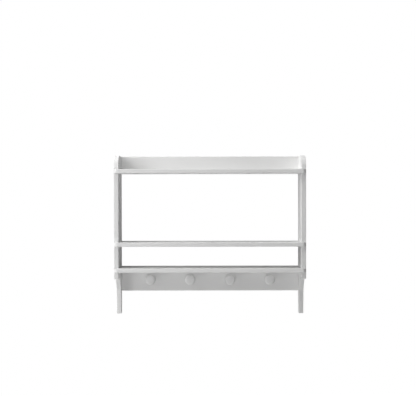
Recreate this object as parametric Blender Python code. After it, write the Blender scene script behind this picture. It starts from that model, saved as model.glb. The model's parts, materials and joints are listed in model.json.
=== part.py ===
"""A wall shelf of painted boards: three shelves between two shaped sides, and a rail of turned pegs.

Sizes are in metres. X runs to the right along the wall, Y runs into the wall and Z is up. The origin
lies on the wall plane, in the middle of the back of the gallery rail, where the shelf hangs. Depths are
counted from the wall towards the room, so a depth is a place at minus Y.
"""

import math

import bmesh
import bpy
from mathutils import Vector

# Clearances
FIT_GAP = 0.0003
CUT_OVERRUN = 0.002

# The whole shelf
WIDTH = 0.750
SIDE_DEPTH = 0.145
SIDE_THICKNESS = 0.018
SHELF_THICKNESS = 0.016
SHELF_LIP = 0.015
LIP_CORNER_RADIUS = 0.014
RAIL_THICKNESS = 0.016
EASED_EDGE = 0.002

# Heights, from the top of the ears down to the feet
GALLERY_HEIGHT = 0.055
UPPER_BAY = 0.270
LOWER_BAY = 0.085
PEG_ROOM_ABOVE = 0.0165
PEG_ROOM_BELOW = 0.025
LEG_DROP = 0.0905

# The outline of a side. Its leg and bracket depths are shares of the side's depth.
EAR_RADIUS = 0.050
BRACKET_DROP = 0.0265
OGEE_HEIGHT = 0.0585
CORNER_RADIUS = 0.003
BRACKET_DEPTH_SHARE = 0.525
LEG_TOP_DEPTH_SHARE = 0.28
FOOT_DEPTH_SHARE = 0.21

# Turned pegs. Heights along a peg are shares of its length, and its bore is a share too.
PEG_COUNT = 4
PEG_END_DISTANCE = 0.117
PEG_DIAMETER = 0.042
PEG_LENGTH = 0.032
PEG_NECK_DIAMETER = 0.017
PEG_FLARE = 0.002
PEG_RIM_SHARE = 0.66
PEG_NECK_SHARE = 0.24
PEG_BORE_SHARE = 0.62
PEG_CROWN_POWER = 3.4

# Screws that hold the pegs, driven from behind the rail
PEG_SCREW_DIAMETER = 0.004
PEG_SCREW_HEAD_DIAMETER = 0.008
PEG_SCREW_HEAD_HEIGHT = 0.0026
PEG_SCREW_REACH_SHARE = 0.5

# Connector screws that hold the shelves, driven through the sides, with a cap over each head
CONNECTOR_DIAMETER = 0.0064
CONNECTOR_REACH = 0.032
CONNECTOR_HEAD_DIAMETER = 0.0114
CONNECTOR_HEAD_HEIGHT = 0.003
CONNECTOR_SOCKET_SHARE = 0.42
CONNECTOR_DEPTH_SHARES = (0.25, 0.75)
CAP_THICKNESS = 0.002

# Dowels in the ends of both rails. A dowel is half as thick as its rail.
DOWEL_SHARE = 0.5
DOWEL_SIDE_SHARE = 0.65
DOWEL_RAIL_DEPTH = 0.018
DOWEL_CHAMFER = 0.001
DOWEL_HEIGHT_SHARES = (0.25, 0.75)

# Keyhole hanger plates, let into the back of the gallery rail. Depths are shares of the rail's thickness.
HANGER_END_DISTANCE = 0.080
PLATE_WIDTH = 0.038
PLATE_HEIGHT = 0.020
PLATE_THICKNESS = 0.002
PLATE_CORNER_RADIUS = 0.003
KEYHOLE_ENTRY_DIAMETER = 0.009
KEYHOLE_SLOT_WIDTH = 0.0046
KEYHOLE_RISE = 0.0065
POCKET_WALL = 0.002
POCKET_DEPTH_SHARE = 0.55
PLATE_SCREW_DIAMETER = 0.003
PLATE_SCREW_HEAD_DIAMETER = 0.006
PLATE_SCREW_DEPTH_SHARE = 0.7
PLATE_SCREW_PLACE_SHARE = 0.36

# Steps in round shapes
ARC_STEPS = 9
EDGE_STEPS = 2
OGEE_STEPS = 10
PEG_SIDES = 24
PEG_CROWN_STEPS = 6
PEG_BACK_STEPS = 5
SMALL_SIDES = 12
QUARTER_TURN = math.pi / 2
SMOOTH_ANGLE = math.radians(40)
MERGE_DISTANCE = 1e-7

# Places that follow from the sizes above
INNER_WIDTH = WIDTH - 2 * SIDE_THICKNESS
BOARD_LENGTH = INNER_WIDTH - 2 * FIT_GAP
PEG_RAIL_HEIGHT = PEG_ROOM_ABOVE + PEG_DIAMETER + PEG_ROOM_BELOW
TOP_Z = GALLERY_HEIGHT / 2
UPPER_SHELF_Z = -GALLERY_HEIGHT / 2
MIDDLE_SHELF_Z = UPPER_SHELF_Z - SHELF_THICKNESS - UPPER_BAY
LOWER_SHELF_Z = MIDDLE_SHELF_Z - SHELF_THICKNESS - LOWER_BAY
PEG_RAIL_TOP_Z = LOWER_SHELF_Z - SHELF_THICKNESS
PEG_RAIL_BOTTOM_Z = PEG_RAIL_TOP_Z - PEG_RAIL_HEIGHT
FOOT_Z = PEG_RAIL_BOTTOM_Z - LEG_DROP
LEDGE_Z = PEG_RAIL_TOP_Z - BRACKET_DROP
PEG_Z = PEG_RAIL_BOTTOM_Z + PEG_ROOM_BELOW + PEG_DIAMETER / 2
SHELF_HEIGHTS = {"upper": UPPER_SHELF_Z, "middle": MIDDLE_SHELF_Z, "lower": LOWER_SHELF_Z}
SIDES = {"left": -1, "right": 1}

# Turns that point a piece's own Z axis where its name says
FACING_ROOM = (QUARTER_TURN, 0, 0)
FACING_WALL = (-QUARTER_TURN, 0, 0)
FACING = {"left": (0, -QUARTER_TURN, 0), "right": (0, QUARTER_TURN, 0)}


def remove_old_objects():
    for old in list(bpy.data.objects):
        bpy.data.objects.remove(old)


def finish(name, colour, roughness, metallic=0.0):
    """A plain surface of one colour, as a Principled BSDF material."""
    material = bpy.data.materials.new(name)
    material.use_nodes = True
    shader = material.node_tree.nodes["Principled BSDF"]
    shader.inputs["Base Color"].default_value = (*colour, 1.0)
    shader.inputs["Roughness"].default_value = roughness
    shader.inputs["Metallic"].default_value = metallic
    return material


def add_object(name, mesh, material, place=(0, 0, 0), turn=(0, 0, 0), parent=None):
    piece = bpy.data.objects.new(name, mesh)
    piece.location = place
    piece.rotation_euler = turn
    piece.parent = parent
    bpy.context.scene.collection.objects.link(piece)
    if material and not mesh.materials:
        mesh.materials.append(material)
    return piece


def fillet(before, corner, after, radius, steps):
    """The points of an arc that rounds a corner. Half of each edge is the most that it takes."""
    back = (Vector(before) - Vector(corner)).normalized()
    on = (Vector(after) - Vector(corner)).normalized()
    half = back.angle(on) / 2
    room = min((Vector(before) - Vector(corner)).length, (Vector(after) - Vector(corner)).length) / 2
    reach = min(radius / math.tan(half), room)
    radius = reach * math.tan(half)
    centre = Vector(corner) + (back + on).normalized() * radius / math.sin(half)
    first = Vector(corner) + back * reach - centre
    sweep = math.pi - 2 * half
    if back.x * on.y - back.y * on.x > 0:
        sweep = -sweep
    points = []
    for step in range(steps + 1):
        angle = sweep * step / steps
        x = first.x * math.cos(angle) - first.y * math.sin(angle)
        y = first.x * math.sin(angle) + first.y * math.cos(angle)
        points.append((centre.x + x, centre.y + y))
    return points


def outline(*corners):
    """An outline from corners (x, y) that stay sharp, or (x, y, radius, steps) that are rounded."""
    points = []
    for index, corner in enumerate(corners):
        if len(corner) == 2:
            points.append(corner)
            continue
        before = corners[index - 1][:2]
        after = corners[(index + 1) % len(corners)][:2]
        points += fillet(before, corner[:2], after, *corner[2:])
    return points


def slab(points, to_space, length):
    """A board, extruded from a flat outline. to_space maps a point (a, b, along) to X, Y and Z."""
    shape = bmesh.new()
    face = shape.faces.new([shape.verts.new(to_space(a, b, 0)) for a, b in points])
    push = Vector(to_space(0, 0, length)) - Vector(to_space(0, 0, 0))
    moved = bmesh.ops.extrude_face_region(shape, geom=[face], use_keep_orig=True)["geom"]
    bmesh.ops.translate(shape, verts=[v for v in moved if isinstance(v, bmesh.types.BMVert)], vec=push)
    bmesh.ops.recalc_face_normals(shape, faces=shape.faces)
    return shape


def ease_edges(shape, wanted, width):
    """Rounds over the edges for which wanted is true."""
    edges = [edge for edge in shape.edges if wanted(edge)]
    bmesh.ops.bevel(
        shape,
        geom=edges,
        offset=width,
        offset_type="OFFSET",
        affect="EDGES",
        segments=EDGE_STEPS,
        profile=0.5,
        material=-1,
        clamp_overlap=True,
    )


def to_mesh(shape, name, smooth=False):
    mesh = bpy.data.meshes.new(name)
    shape.to_mesh(mesh)
    shape.free()
    if smooth:
        mesh.shade_smooth()
        mesh.set_sharp_from_angle(angle=SMOOTH_ANGLE)
    return mesh


def turned(name, profile, sides=SMALL_SIDES):
    """A piece turned about its own Z axis. The profile is (radius, height), from the top down."""
    shape = bmesh.new()
    points = [shape.verts.new((radius, 0, height)) for radius, height in profile]
    edges = [shape.edges.new(pair) for pair in zip(points, points[1:])]
    bmesh.ops.spin(
        shape,
        geom=points + edges,
        cent=(0, 0, 0),
        axis=(0, 0, 1),
        angle=math.tau,
        steps=sides,
        use_merge=True,
    )
    bmesh.ops.remove_doubles(shape, verts=shape.verts, dist=MERGE_DISTANCE)
    bmesh.ops.recalc_face_normals(shape, faces=shape.faces)
    return to_mesh(shape, name, smooth=True)


def cut(piece, mesh, place, turn=(0, 0, 0)):
    """Cuts a shape out of a piece. A piece's cutters share one collection and one Boolean."""
    group_name = piece.name + "_cutters"
    group = bpy.data.collections.get(group_name)
    if group is None:
        group = bpy.data.collections.new(group_name)
        bpy.context.scene.collection.children.link(group)
        boolean = piece.modifiers.new("Cuts", "BOOLEAN")
        boolean.operation = "DIFFERENCE"
        boolean.solver = "EXACT"
        boolean.operand_type = "COLLECTION"
        boolean.collection = group
    cutter = bpy.data.objects.new(f"{piece.name}_cutter", mesh)
    cutter.location = place
    cutter.rotation_euler = turn
    cutter.hide_render = True
    cutter.display_type = "WIRE"
    group.objects.link(cutter)


def smoothstep(share):
    return share * share * (3 - 2 * share)


def side_outline():
    """The side as (depth, height): foot, tapered leg, ogee, bracket ledge, front and ear."""
    bracket_depth = BRACKET_DEPTH_SHARE * SIDE_DEPTH
    leg_top_depth = LEG_TOP_DEPTH_SHARE * SIDE_DEPTH
    ogee = []
    for step in range(OGEE_STEPS + 1):
        share = step / OGEE_STEPS
        depth = leg_top_depth + (bracket_depth - leg_top_depth) * smoothstep(share)
        ogee.append((depth, LEDGE_Z - OGEE_HEIGHT * (1 - share)))
    return outline(
        (0, FOOT_Z),
        (FOOT_DEPTH_SHARE * SIDE_DEPTH, FOOT_Z, CORNER_RADIUS, EDGE_STEPS),
        *ogee,
        (SIDE_DEPTH, LEDGE_Z, CORNER_RADIUS, EDGE_STEPS),
        (SIDE_DEPTH, TOP_Z, EAR_RADIUS, ARC_STEPS),
        (0, TOP_Z),
    )


def side_mesh():
    """Both sides share this board. Every edge round its two faces is eased."""
    shape = slab(side_outline(), lambda depth, height, along: (along, -depth, height), SIDE_THICKNESS)
    ease_edges(shape, is_face_edge, EASED_EDGE)
    return to_mesh(shape, "side", smooth=True)


def is_broad_face(face):
    """Whether a face of a side is one of its two broad ones."""
    return abs(face.normal.x) > abs(face.normal.y) + abs(face.normal.z)


def is_face_edge(edge):
    """Whether an edge of a side lies between one of its two broad faces and its rim."""
    return sum(is_broad_face(face) for face in edge.link_faces) == 1


def shelf_mesh():
    """A shelf from above. Its lip runs on across the sides' front edges, flush with their outer faces."""
    end = BOARD_LENGTH / 2
    notch = -SIDE_DEPTH - FIT_GAP
    front = -SIDE_DEPTH - SHELF_LIP
    points = outline(
        (-end, 0),
        (end, 0),
        (end, notch),
        (WIDTH / 2, notch),
        (WIDTH / 2, front, LIP_CORNER_RADIUS, ARC_STEPS),
        (-WIDTH / 2, front, LIP_CORNER_RADIUS, ARC_STEPS),
        (-WIDTH / 2, notch),
        (-end, notch),
    )
    shape = slab(points, lambda x, y, along: (x, y, along - SHELF_THICKNESS), SHELF_THICKNESS)
    ease_edges(shape, is_lip_edge, EASED_EDGE)
    return to_mesh(shape, "shelf", smooth=True)


def is_lip_edge(edge):
    """Whether an edge of a shelf runs round its front, above or below, where a hand meets it."""
    low, high = edge.verts
    level = abs(low.co.z - high.co.z) < FIT_GAP
    in_front = max(low.co.y, high.co.y) < -SIDE_DEPTH
    middle = (low.co + high.co) / 2
    behind_lip = abs(low.co.y - high.co.y) < FIT_GAP and middle.y > -SIDE_DEPTH - 2 * FIT_GAP
    return level and in_front and not behind_lip


def rail_mesh(name, corners):
    """A rail between the sides, from its section as (depth, height)."""
    start = -BOARD_LENGTH / 2
    section = outline(*corners)
    shape = slab(section, lambda depth, height, along: (start + along, -depth, height), BOARD_LENGTH)
    return to_mesh(shape, name, smooth=True)


def gallery_rail_mesh():
    bottom = UPPER_SHELF_Z + FIT_GAP
    return rail_mesh(
        "gallery_rail",
        (
            (0, bottom),
            (RAIL_THICKNESS, bottom),
            (RAIL_THICKNESS, TOP_Z, EASED_EDGE, EDGE_STEPS),
            (0, TOP_Z),
        ),
    )


def peg_rail_mesh():
    top = PEG_RAIL_TOP_Z - FIT_GAP
    return rail_mesh(
        "peg_rail",
        (
            (0, PEG_RAIL_BOTTOM_Z),
            (RAIL_THICKNESS, PEG_RAIL_BOTTOM_Z, EASED_EDGE, EDGE_STEPS),
            (RAIL_THICKNESS, top),
            (0, top),
        ),
    )


def peg_mesh():
    """A turned peg: a crowned head, a hollowed back, a slim neck, a flared foot and a blind bore."""
    head = PEG_DIAMETER / 2
    neck = PEG_NECK_DIAMETER / 2
    rim = PEG_RIM_SHARE * PEG_LENGTH
    neck_top = PEG_NECK_SHARE * PEG_LENGTH
    bore = PEG_SCREW_DIAMETER / 2 + FIT_GAP
    bore_end = PEG_BORE_SHARE * PEG_LENGTH
    profile = [(0, PEG_LENGTH)]
    for step in range(1, PEG_CROWN_STEPS):
        turn = QUARTER_TURN * step / PEG_CROWN_STEPS
        radius = head * math.sin(turn) ** (2 / PEG_CROWN_POWER)
        rise = math.cos(turn) ** (2 / PEG_CROWN_POWER)
        profile.append((radius, rim + (PEG_LENGTH - rim) * rise))
    profile.append((head, rim))
    for step in range(1, PEG_BACK_STEPS + 1):
        share = step / PEG_BACK_STEPS
        profile.append((head + (neck - head) * smoothstep(share), rim + (neck_top - rim) * share))
    profile += [
        (neck, PEG_FLARE),
        (neck + PEG_FLARE, 0),
        (bore, 0),
        (bore, bore_end),
        (0, bore_end),
    ]
    return turned("peg", profile, PEG_SIDES)


def peg_screw_mesh():
    """A pan-head screw that points along plus Z, with its head's underside at zero."""
    head = PEG_SCREW_HEAD_DIAMETER / 2
    shank = PEG_SCREW_DIAMETER / 2
    length = RAIL_THICKNESS - PEG_SCREW_HEAD_HEIGHT - FIT_GAP + PEG_SCREW_REACH_SHARE * PEG_LENGTH
    recess = PEG_SCREW_HEAD_HEIGHT / 2
    return turned(
        "peg_screw",
        (
            (0, length),
            (shank / 2, length),
            (shank, length - shank),
            (shank, 0),
            (head, 0),
            (head, -PEG_SCREW_HEAD_HEIGHT / 2),
            (shank, -PEG_SCREW_HEAD_HEIGHT),
            (0, -recess),
        ),
    )


def connector_mesh():
    """A connector screw that points along plus Z, with a socket in its head, whose underside is at zero."""
    head = CONNECTOR_HEAD_DIAMETER / 2
    thread = CONNECTOR_DIAMETER / 2
    socket = CONNECTOR_SOCKET_SHARE * head
    in_side = SIDE_THICKNESS - CAP_THICKNESS - CONNECTOR_HEAD_HEIGHT - 2 * FIT_GAP
    length = in_side + CONNECTOR_REACH
    return turned(
        "connector",
        (
            (0, length),
            (thread / 2, length),
            (thread, length - thread),
            (thread, 0),
            (head, 0),
            (head, -CONNECTOR_HEAD_HEIGHT),
            (socket, -CONNECTOR_HEAD_HEIGHT),
            (socket, -CONNECTOR_HEAD_HEIGHT / 2),
            (0, -CONNECTOR_HEAD_HEIGHT / 2),
        ),
    )


def cap_mesh():
    """The disc that hides a connector's head, flush with the side's outer face."""
    radius = CONNECTOR_HEAD_DIAMETER / 2
    return turned("cap", ((0, 0), (radius, 0), (radius, -CAP_THICKNESS), (0, -CAP_THICKNESS)))


def dowel_mesh():
    """A chamfered dowel along Z, with zero where the rail's end meets the side."""
    radius = DOWEL_SHARE * RAIL_THICKNESS / 2
    top = DOWEL_SIDE_SHARE * SIDE_THICKNESS
    tip = radius - DOWEL_CHAMFER
    return turned(
        "dowel",
        (
            (0, top),
            (tip, top),
            (radius, top - DOWEL_CHAMFER),
            (radius, DOWEL_CHAMFER - DOWEL_RAIL_DEPTH),
            (tip, -DOWEL_RAIL_DEPTH),
            (0, -DOWEL_RAIL_DEPTH),
        ),
    )


def plate_outline(margin=0.0):
    half_width = PLATE_WIDTH / 2 + margin
    half_height = PLATE_HEIGHT / 2 + margin
    corner = (PLATE_CORNER_RADIUS + margin, EDGE_STEPS)
    return outline(
        (-half_width, -half_height, *corner),
        (half_width, -half_height, *corner),
        (half_width, half_height, *corner),
        (-half_width, half_height, *corner),
    )


def keyhole_outline():
    """A round entry with a narrow slot above it, centred in the plate's height."""
    entry = KEYHOLE_ENTRY_DIAMETER / 2
    slot = KEYHOLE_SLOT_WIDTH / 2
    entry_z = -KEYHOLE_RISE / 2
    slot_z = KEYHOLE_RISE / 2
    join = math.acos(slot / entry)
    points = []
    for step in range(SMALL_SIDES + 1):
        turn = join - (math.pi + 2 * join) * step / SMALL_SIDES
        points.append((entry * math.cos(turn), entry_z + entry * math.sin(turn)))
    for step in range(ARC_STEPS + 1):
        turn = math.pi - math.pi * step / ARC_STEPS
        points.append((slot * math.cos(turn), slot_z + slot * math.sin(turn)))
    return points


def back_slab(name, points, depth_from, depth_to):
    """A shape on the back of the gallery rail, between two depths."""
    shape = slab(points, lambda x, z, along: (x, -depth_from - along, z), depth_to - depth_from)
    return to_mesh(shape, name)


def pocket_outline():
    """The room behind a keyhole, where the head of the wall's screw slides up."""
    half_width = KEYHOLE_ENTRY_DIAMETER / 2 + POCKET_WALL
    half_height = KEYHOLE_ENTRY_DIAMETER / 2 + KEYHOLE_RISE / 2 + FIT_GAP
    return outline(
        (-half_width, -half_height),
        (half_width, -half_height),
        (half_width, half_height),
        (-half_width, half_height),
    )


def countersunk_profile(margin, tip_depth):
    """A countersunk screw, or with a margin its bore, as (radius, height) with the head's top at zero."""
    head = PLATE_SCREW_HEAD_DIAMETER / 2 + margin
    shank = PLATE_SCREW_DIAMETER / 2 + margin
    return [
        (head, -margin),
        (shank, shank - head - margin),
        (shank, -tip_depth),
        (0, -tip_depth),
    ]


def plate_screw_mesh():
    """A countersunk screw pointing down its own Z axis, with a shallow recess in its head."""
    depth = PLATE_SCREW_DEPTH_SHARE * RAIL_THICKNESS
    shank = PLATE_SCREW_DIAMETER / 2
    return turned("plate_screw", [(0, -shank / 2), (shank, 0), *countersunk_profile(0, depth)])


def plate_screw_bore():
    depth = PLATE_SCREW_DEPTH_SHARE * RAIL_THICKNESS + FIT_GAP
    top = PLATE_SCREW_HEAD_DIAMETER / 2 + FIT_GAP
    profile = [(0, CUT_OVERRUN), (top, CUT_OVERRUN), (top, 0), *countersunk_profile(FIT_GAP, depth)]
    return turned("plate_screw_bore", profile)


def drill_mesh(name, *steps):
    """A cutter for a stepped bore down from its own Z zero: each step is (diameter, depth it reaches)."""
    profile = [(0, CUT_OVERRUN), (steps[0][0] / 2, CUT_OVERRUN)]
    for (diameter, depth), (following, _) in zip(steps, [*steps[1:], (0, 0)]):
        profile += [(diameter / 2, -depth), (following / 2, -depth)]
    return turned(name, profile)


def make_sides(finishes, wall):
    mesh = side_mesh()
    boards = {}
    for name, sign in SIDES.items():
        inner_x = sign * INNER_WIDTH / 2
        start = inner_x if sign > 0 else inner_x - SIDE_THICKNESS
        boards[name] = add_object(f"{name}_side", mesh, finishes["paint"], (start, 0, 0), parent=wall)
    return boards


def make_shelves(finishes, wall):
    mesh = shelf_mesh()
    return {
        name: add_object(f"{name}_shelf", mesh, finishes["paint"], (0, 0, height), parent=wall)
        for name, height in SHELF_HEIGHTS.items()
    }


def join_shelves(sides, shelves, finishes, wall):
    """Two connectors at each end of each shelf, in bores through the side and into the shelf's end."""
    connector = connector_mesh()
    cap = cap_mesh()
    head_bore = CONNECTOR_HEAD_DIAMETER + 2 * FIT_GAP
    thread_bore = CONNECTOR_DIAMETER + 2 * FIT_GAP
    seat = CAP_THICKNESS + CONNECTOR_HEAD_HEIGHT + 2 * FIT_GAP
    side_bore = drill_mesh(
        "connector_bore",
        (head_bore, seat),
        (thread_bore, SIDE_THICKNESS + CUT_OVERRUN),
    )
    end_bore = drill_mesh("connector_pilot", (thread_bore, CONNECTOR_REACH))
    head_x = WIDTH / 2 - seat + FIT_GAP
    for shelf_name, shelf in shelves.items():
        z = SHELF_HEIGHTS[shelf_name] - SHELF_THICKNESS / 2
        for side_name, sign in SIDES.items():
            inwards = FACING["left" if sign > 0 else "right"]
            outwards = FACING[side_name]
            for place_name, share in zip(("back", "front"), CONNECTOR_DEPTH_SHARES):
                y = -share * SIDE_DEPTH
                label = f"{shelf_name}_{side_name}_{place_name}"
                seated = (sign * head_x, y, z)
                flush = (sign * WIDTH / 2, y, z)
                add_object(f"screw_{label}", connector, finishes["steel"], seated, inwards, wall)
                add_object(f"cap_{label}", cap, finishes["plastic"], flush, outwards, wall)
                cut(sides[side_name], side_bore, flush, outwards)
                cut(shelf, end_bore, (sign * BOARD_LENGTH / 2, y, z), outwards)


def make_rails(sides, finishes, wall):
    """The gallery rail above the upper shelf and the peg rail under the lower one, on two dowels an end."""
    rails = {
        "gallery": (gallery_rail_mesh(), UPPER_SHELF_Z, GALLERY_HEIGHT),
        "peg": (peg_rail_mesh(), PEG_RAIL_BOTTOM_Z, PEG_RAIL_HEIGHT),
    }
    dowel = dowel_mesh()
    bore_width = DOWEL_SHARE * RAIL_THICKNESS + 2 * FIT_GAP
    rail_bore = drill_mesh("dowel_rail_bore", (bore_width, DOWEL_RAIL_DEPTH))
    side_bore = drill_mesh("dowel_side_bore", (bore_width, DOWEL_SIDE_SHARE * SIDE_THICKNESS + FIT_GAP))
    boards = {}
    for rail_name, (mesh, bottom, height) in rails.items():
        rail = add_object(f"{rail_name}_rail", mesh, finishes["paint"], parent=wall)
        boards[rail_name] = rail
        for side_name, sign in SIDES.items():
            outwards = FACING[side_name]
            inwards = FACING["left" if sign > 0 else "right"]
            for place_name, share in zip(("lower", "upper"), DOWEL_HEIGHT_SHARES):
                y = -RAIL_THICKNESS / 2
                z = bottom + share * height
                name = f"dowel_{rail_name}_{side_name}_{place_name}"
                joint = (sign * INNER_WIDTH / 2, y, z)
                add_object(name, dowel, finishes["beech"], joint, outwards, wall)
                cut(rail, rail_bore, (sign * BOARD_LENGTH / 2, y, z), outwards)
                cut(sides[side_name], side_bore, joint, inwards)
    return boards


def make_pegs(peg_rail, finishes, wall):
    """The turned pegs in an even row, each held by a screw from a counterbore in the rail's back."""
    peg = peg_mesh()
    screw = peg_screw_mesh()
    seat = PEG_SCREW_HEAD_HEIGHT + FIT_GAP
    bore = drill_mesh(
        "peg_screw_bore",
        (PEG_SCREW_HEAD_DIAMETER + 2 * FIT_GAP, seat),
        (PEG_SCREW_DIAMETER + 2 * FIT_GAP, RAIL_THICKNESS + CUT_OVERRUN),
    )
    span = INNER_WIDTH - 2 * PEG_END_DISTANCE
    for index in range(PEG_COUNT):
        x = span * index / (PEG_COUNT - 1) - span / 2
        on_rail = (x, -RAIL_THICKNESS - FIT_GAP, PEG_Z)
        seated = (x, FIT_GAP - seat, PEG_Z)
        add_object(f"peg_{index + 1}", peg, finishes["paint"], on_rail, FACING_ROOM, wall)
        add_object(f"peg_screw_{index + 1}", screw, finishes["steel"], seated, FACING_ROOM, wall)
        cut(peg_rail, bore, (x, 0, PEG_Z), FACING_WALL)


def make_hangers(gallery_rail, finishes, wall):
    """Two keyhole plates, flush with the gallery rail's back, each with two screws and a pocket."""
    recess = back_slab("plate_recess", plate_outline(FIT_GAP), -CUT_OVERRUN, PLATE_THICKNESS + FIT_GAP)
    pocket = back_slab("plate_pocket", pocket_outline(), PLATE_THICKNESS / 2, POCKET_DEPTH_SHARE * RAIL_THICKNESS)
    keyhole = back_slab("keyhole", keyhole_outline(), -CUT_OVERRUN, PLATE_THICKNESS + CUT_OVERRUN)
    bore = plate_screw_bore()
    screw = plate_screw_mesh()
    for name, sign in SIDES.items():
        x = sign * (INNER_WIDTH / 2 - HANGER_END_DISTANCE)
        mesh = back_slab("hanger_plate", plate_outline(), 0, PLATE_THICKNESS)
        plate = add_object(f"hanger_plate_{name}", mesh, finishes["steel"], (x, 0, 0), parent=wall)
        cut(plate, keyhole, (x, 0, 0))
        cut(gallery_rail, recess, (x, 0, 0))
        cut(gallery_rail, pocket, (x, 0, 0))
        for place_name, end in (("left", -1), ("right", 1)):
            screw_x = x + end * PLATE_SCREW_PLACE_SHARE * PLATE_WIDTH
            label = f"plate_screw_{name}_{place_name}"
            add_object(label, screw, finishes["steel"], (screw_x, 0, 0), FACING_WALL, wall)
            cut(plate, bore, (screw_x, 0, 0), FACING_WALL)
            cut(gallery_rail, bore, (screw_x, 0, 0), FACING_WALL)


def main():
    remove_old_objects()
    finishes = {
        "paint": finish("white_paint", (0.80, 0.80, 0.80), 0.45),
        "steel": finish("zinc_plated_steel", (0.62, 0.62, 0.60), 0.35, 1.0),
        "plastic": finish("white_plastic", (0.82, 0.82, 0.81), 0.40),
        "beech": finish("beech", (0.62, 0.44, 0.27), 0.65),
    }
    wall = bpy.data.objects.new("wall_plane", None)
    bpy.context.scene.collection.objects.link(wall)
    sides = make_sides(finishes, wall)
    shelves = make_shelves(finishes, wall)
    join_shelves(sides, shelves, finishes, wall)
    rails = make_rails(sides, finishes, wall)
    make_pegs(rails["peg"], finishes, wall)
    make_hangers(rails["gallery"], finishes, wall)


main()
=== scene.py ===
# %% [markdown]
# # Dressing a painted wall shelf
#
# The shelf is a small hanging bookcase: three shelves between two shaped sides, a low gallery rail
# behind the top shelf, and a rail of four turned pegs for coats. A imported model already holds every
# board, peg, screw and dowel at its real size and place. This lesson gives each piece that shows its
# final shape and its finish, and then sets the light and the camera.
#
# Everything is in metres. X runs to the right along the wall, Y runs into the wall and Z is up. The
# back of the shelf lies on the plane Y = 0, so a place nearer to the room has a lower Y.

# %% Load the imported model
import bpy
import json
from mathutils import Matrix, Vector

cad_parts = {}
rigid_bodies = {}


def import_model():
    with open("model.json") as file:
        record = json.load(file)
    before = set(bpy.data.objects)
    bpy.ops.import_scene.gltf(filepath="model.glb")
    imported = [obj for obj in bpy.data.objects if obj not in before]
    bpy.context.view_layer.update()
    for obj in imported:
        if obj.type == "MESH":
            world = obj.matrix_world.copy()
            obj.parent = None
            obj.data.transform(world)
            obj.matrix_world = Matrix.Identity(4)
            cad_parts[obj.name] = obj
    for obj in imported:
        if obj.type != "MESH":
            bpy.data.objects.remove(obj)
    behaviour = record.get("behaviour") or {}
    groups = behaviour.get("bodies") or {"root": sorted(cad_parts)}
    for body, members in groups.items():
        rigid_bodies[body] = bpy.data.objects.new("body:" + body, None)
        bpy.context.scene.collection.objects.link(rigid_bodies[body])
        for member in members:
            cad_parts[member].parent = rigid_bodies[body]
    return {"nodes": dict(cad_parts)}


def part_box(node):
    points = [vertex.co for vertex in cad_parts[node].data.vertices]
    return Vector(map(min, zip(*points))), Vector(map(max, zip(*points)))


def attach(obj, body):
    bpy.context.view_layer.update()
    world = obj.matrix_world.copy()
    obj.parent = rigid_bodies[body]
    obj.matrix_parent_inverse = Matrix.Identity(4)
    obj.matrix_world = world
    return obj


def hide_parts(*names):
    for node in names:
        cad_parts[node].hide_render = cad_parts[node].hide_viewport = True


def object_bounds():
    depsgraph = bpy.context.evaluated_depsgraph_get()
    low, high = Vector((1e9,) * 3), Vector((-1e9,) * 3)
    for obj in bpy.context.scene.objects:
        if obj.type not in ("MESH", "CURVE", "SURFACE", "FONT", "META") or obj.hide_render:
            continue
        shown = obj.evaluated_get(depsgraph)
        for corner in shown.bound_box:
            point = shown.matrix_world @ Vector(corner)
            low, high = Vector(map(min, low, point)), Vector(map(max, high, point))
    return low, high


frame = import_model()
cad_low, cad_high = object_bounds()
print("pieces in the packed model:", len(frame["nodes"]))

# %% Blender's modules
import json
import math

import bmesh
import bpy
from mathutils import Matrix, Vector

# %% [markdown]
# ## Measuring the model
#
# A new board has to fit the one that it stands for to the tenth of a millimetre. The sizes could be
# typed again, but a typed number goes wrong as soon as the model changes. So they are read from the
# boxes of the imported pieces, and only what a box can't say, such as a corner's radius, is typed.

# %% Measure the boards
side_low, side_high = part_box("right_side")
shelf_low, shelf_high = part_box("upper_shelf")
lower_shelf_low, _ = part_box("lower_shelf")
rail_low, rail_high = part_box("gallery_rail")
board_half_length = rail_high.x
side_depth = -side_low.y
top_z = side_high.z
foot_z = side_low.z
side_thickness = side_high.x - side_low.x
shelf_thickness = shelf_high.z - shelf_low.z
rail_thickness = -rail_low.y
print(f"width {cad_high.x - cad_low.x:.3f} m, height {top_z - foot_z:.3f} m")
print(f"a side is {side_thickness:.4f} m thick and {side_depth:.3f} m deep")

# %% Sizes that a box can't say
FIT_GAP = 0.0003
CUT_OVERRUN = 0.002
EASED_EDGE = 0.002
SANDED_EDGE = 0.0006
SANDED_STEPS = 3
MERGE_DISTANCE = 1e-6
SAME_PLACE = 10 * MERGE_DISTANCE
SHARP_ANGLE = math.radians(35)
FELT_ANGLE = math.radians(50)
STRAIGHT_WITHIN = math.radians(1)

# %% [markdown]
# ## Three helpers for every board
#
# Each board starts as a flat outline with a few corners. Three steps turn it into wood: an extrusion
# gives it thickness, bevels round its corners and take the sharpness off its edges, and a Boolean
# drills it. The bevel operator of bmesh has other defaults than the editor's tool, so the helper
# states them all: a profile of 0.5 is a true arc, and a material of -1 keeps the faces' own.

# %% Extrude an outline
def extruded(corners, push):
    """A closed shape from the corners of a flat outline and the vector that it is pushed along."""
    shape = bmesh.new()
    face = shape.faces.new([shape.verts.new(corner) for corner in corners])
    moved = bmesh.ops.extrude_face_region(shape, geom=[face], use_keep_orig=True)["geom"]
    bmesh.ops.translate(shape, verts=[v for v in moved if isinstance(v, bmesh.types.BMVert)], vec=push)
    bmesh.ops.recalc_face_normals(shape, faces=shape.faces)
    return shape


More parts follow.
